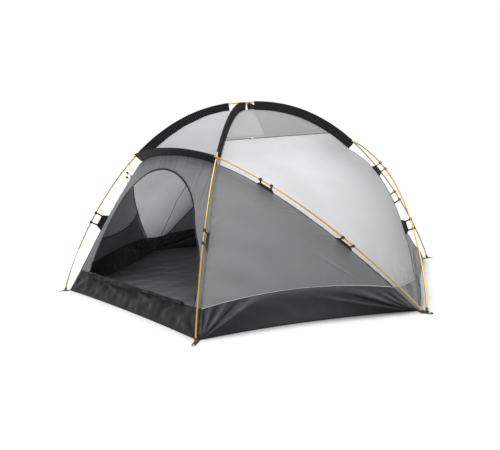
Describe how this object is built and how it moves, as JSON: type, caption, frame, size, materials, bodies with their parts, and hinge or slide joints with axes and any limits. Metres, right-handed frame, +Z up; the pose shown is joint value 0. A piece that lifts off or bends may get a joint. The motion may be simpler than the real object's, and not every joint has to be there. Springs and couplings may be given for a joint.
{
  "type": "camping tent",
  "caption": "Free-standing dome tent: crossed and arched gold poles carry a pale and grey canopy with sleeves, clips, zipped doors and a black tub floor.",
  "frame": {"origin": "on the ground under the middle of the floor", "axes": "+Z up, the front door faces -Y, the two side corners lie on the X axis"},
  "size_m": [3.022, 2.4402, 1.3047],
  "materials": {
    "light_cloth": "ripstop polyester, uncoated side out",
    "roof_cloth": "ripstop polyester",
    "grey_cloth": "plain polyester",
    "floor_cloth": "coated taffeta, slight gloss",
    "sleeve_cloth": "ripstop nylon",
    "mesh_net": "fine insect net",
    "pole": "gold anodised tube",
    "webbing": "woven polyester tape with moulded clips",
    "zip_tape": "coil zip on woven tape",
    "zip_metal": "black moulded",
    "toggle": "white moulded"
  },
  "bodies": {
    "root": {"back_arch_pole": "pole", "back_arch_sleeve": "sleeve_cloth", "back_left_corner_strap": "webbing", "back_left_diagonal_sleeve": "sleeve_cloth", "back_left_leg_tab": "webbing", "back_left_lower_limb_tab": "webbing", "back_left_lower_panel": "grey_cloth", "back_left_upper_limb_tab": "webbing", "back_right_corner_strap": "webbing", "back_right_diagonal_sleeve": "sleeve_cloth", "back_right_leg_tab": "webbing", "back_right_lower_limb_tab": "webbing", "back_right_lower_panel": "grey_cloth", "back_right_pocket": "mesh_net", "back_right_upper_limb_tab": "webbing", "back_roof_panel": "roof_cloth", "back_wall": "grey_cloth", "back_zip_track": "zip_tape", "front_arch_pole": "pole", "front_arch_sleeve": "sleeve_cloth", "front_left_corner_strap": "webbing", "front_left_diagonal_sleeve": "sleeve_cloth", "front_left_leg_tab": "webbing", "front_left_lower_limb_tab": "webbing", "front_left_lower_panel": "grey_cloth", "front_left_pocket": "mesh_net", "front_left_upper_limb_tab": "webbing", "front_right_corner_strap": "webbing", "front_right_diagonal_sleeve": "sleeve_cloth", "front_right_leg_tab": "webbing", "front_right_lower_limb_tab": "webbing", "front_right_lower_panel": "grey_cloth", "front_right_upper_limb_tab": "webbing", "front_roof_panel": "roof_cloth", "front_wall": "grey_cloth", "front_zip_track": "zip_tape", "left_corner_strap": "webbing", "left_mesh_vent": "mesh_net", "left_side_panel": "light_cloth", "left_vent_flap": "grey_cloth", "left_vent_zip": "zip_tape", "lower_diagonal_pole": "pole", "right_corner_strap": "webbing", "right_mesh_vent": "mesh_net", "right_side_panel": "light_cloth", "right_vent_flap": "grey_cloth", "right_vent_zip": "zip_tape", "tub_floor": "floor_cloth", "upper_diagonal_pole": "pole"},
    "front_door": {"front_door": "floor_cloth"},
    "back_door": {"back_door": "grey_cloth"},
    "front_right_slider": {"front_right_zip_slider": "zip_metal"},
    "front_right_pull": {"front_right_zip_pull": "zip_metal"},
    "front_left_slider": {"front_left_zip_slider": "zip_metal"},
    "front_left_pull": {"front_left_zip_pull": "zip_metal"},
    "back_slider": {"back_zip_slider": "zip_metal"},
    "back_pull": {"back_zip_pull": "zip_metal"},
    "right_vent_slider": {"right_vent_slider": "toggle"},
    "left_vent_slider": {"left_vent_slider": "toggle"}
  },
  "joints": [
    {"name": "front_door_fold", "type": "hinge", "parent": "root", "child": "front_door", "pos_m": [0, -1.07591, 0.14759], "axis": [-1, 0, 0], "range_deg": [0, 120]},
    {"name": "back_door_fold", "type": "hinge", "parent": "root", "child": "back_door", "pos_m": [0, 1.07591, 0.14759], "axis": [-1, 0, 0], "range_deg": [0, 120]},
    {"name": "front_right_zip_slide", "type": "slide", "parent": "root", "child": "front_right_slider", "axis": [-0.2309, 0.4245, 0.8755], "range_m": [0, 0.09]},
    {"name": "front_right_pull_swing", "type": "hinge", "parent": "front_right_slider", "child": "front_right_pull", "pos_m": [0.64064, -1.05245, 0.20228], "axis": [-0.972, -0.0612, -0.2267], "range_deg": [0, 170]},
    {"name": "front_left_zip_slide", "type": "slide", "parent": "root", "child": "front_left_slider", "axis": [0.1029, 0.4185, 0.9024], "range_m": [0, 0.09]},
    {"name": "front_left_pull_swing", "type": "hinge", "parent": "front_left_slider", "child": "front_left_pull", "pos_m": [-0.59065, -1.04425, 0.21743], "axis": [-0.994, 0.0105, 0.1085], "range_deg": [0, 170]},
    {"name": "back_zip_slide", "type": "slide", "parent": "root", "child": "back_slider", "axis": [0.2309, -0.4245, 0.8755], "range_m": [0, 0.09]},
    {"name": "back_pull_swing", "type": "hinge", "parent": "back_slider", "child": "back_pull", "pos_m": [-0.64064, 1.05245, 0.20228], "axis": [0.972, 0.0612, -0.2267], "range_deg": [0, 170]},
    {"name": "right_vent_slide", "type": "slide", "parent": "root", "child": "right_vent_slider", "axis": [0, 1, 0], "range_m": [-0.17, 0.7]},
    {"name": "left_vent_slide", "type": "slide", "parent": "root", "child": "left_vent_slider", "axis": [0, 1, 0], "range_m": [-0.17, 0.7]}
  ]
}
